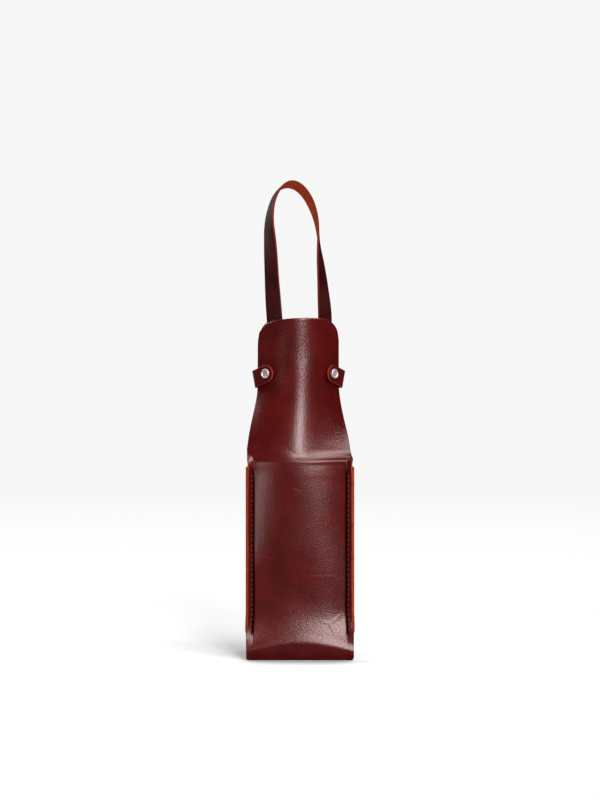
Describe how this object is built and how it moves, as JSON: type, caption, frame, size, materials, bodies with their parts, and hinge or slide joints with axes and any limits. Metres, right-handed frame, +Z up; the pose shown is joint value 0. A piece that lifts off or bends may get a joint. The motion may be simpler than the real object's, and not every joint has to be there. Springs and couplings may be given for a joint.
{
  "type": "leather bottle carrier",
  "caption": "Upright leather carrier for a single bottle, with a stitched pouch, a neck closed by snap tabs and a riveted strap handle.",
  "frame": {"origin": "centre of the flat base, on the surface it stands on", "axes": "+Z up through the neck, +X to the right seen from the front, the front panel faces -Y"},
  "size_m": [0.1084, 0.083, 0.4806],
  "materials": {
    "body_leather": "glossy pull-up leather, grain side out",
    "gusset_leather": "glossy pull-up leather, grain side out",
    "tab_leather": "glossy pull-up leather with raw cut edges",
    "strap_leather": "glossy pull-up leather with a raw flesh side",
    "nickel": "polished nickel",
    "thread": "matte"
  },
  "bodies": {
    "carrier": {"body_strip": "body_leather", "left_ear": "body_leather", "right_ear": "body_leather", "left_gusset": "gusset_leather", "right_gusset": "gusset_leather", "handle_left_leg": "strap_leather", "handle_right_leg": "strap_leather", "left_snap_stud": "nickel", "left_snap_post": "nickel", "left_rivet_heads": "nickel", "left_rivet_caps": "nickel", "right_snap_stud": "nickel", "right_snap_post": "nickel", "right_rivet_heads": "nickel", "right_rivet_caps": "nickel", "left_front_seam": "thread", "right_front_seam": "thread", "left_back_seam": "thread", "right_back_seam": "thread"},
    "left_tab_body": {"left_tab": "tab_leather", "left_snap_cap": "nickel", "left_snap_socket": "nickel"},
    "right_tab_body": {"right_tab": "tab_leather", "right_snap_cap": "nickel", "right_snap_socket": "nickel"},
    "handle": {"handle_loop": "strap_leather"}
  },
  "joints": [
    {"name": "left_tab_fold", "type": "hinge", "parent": "carrier", "child": "left_tab_body", "pos_m": [-0.04677, -0.01179, 0.27797], "axis": [0.2583, -0.1982, -0.9455], "range_deg": [0, 110]},
    {"name": "right_tab_fold", "type": "hinge", "parent": "carrier", "child": "right_tab_body", "pos_m": [0.04453, -0.0038, 0.27797], "axis": [0.22, 0.24, 0.9455], "range_deg": [0, 110]},
    {"name": "handle_swing", "type": "hinge", "parent": "carrier", "child": "handle", "pos_m": [-0.0008, 0.00009, 0.35], "axis": [0.9903, 0.1392, 0], "range_deg": [-90, 90]}
  ]
}
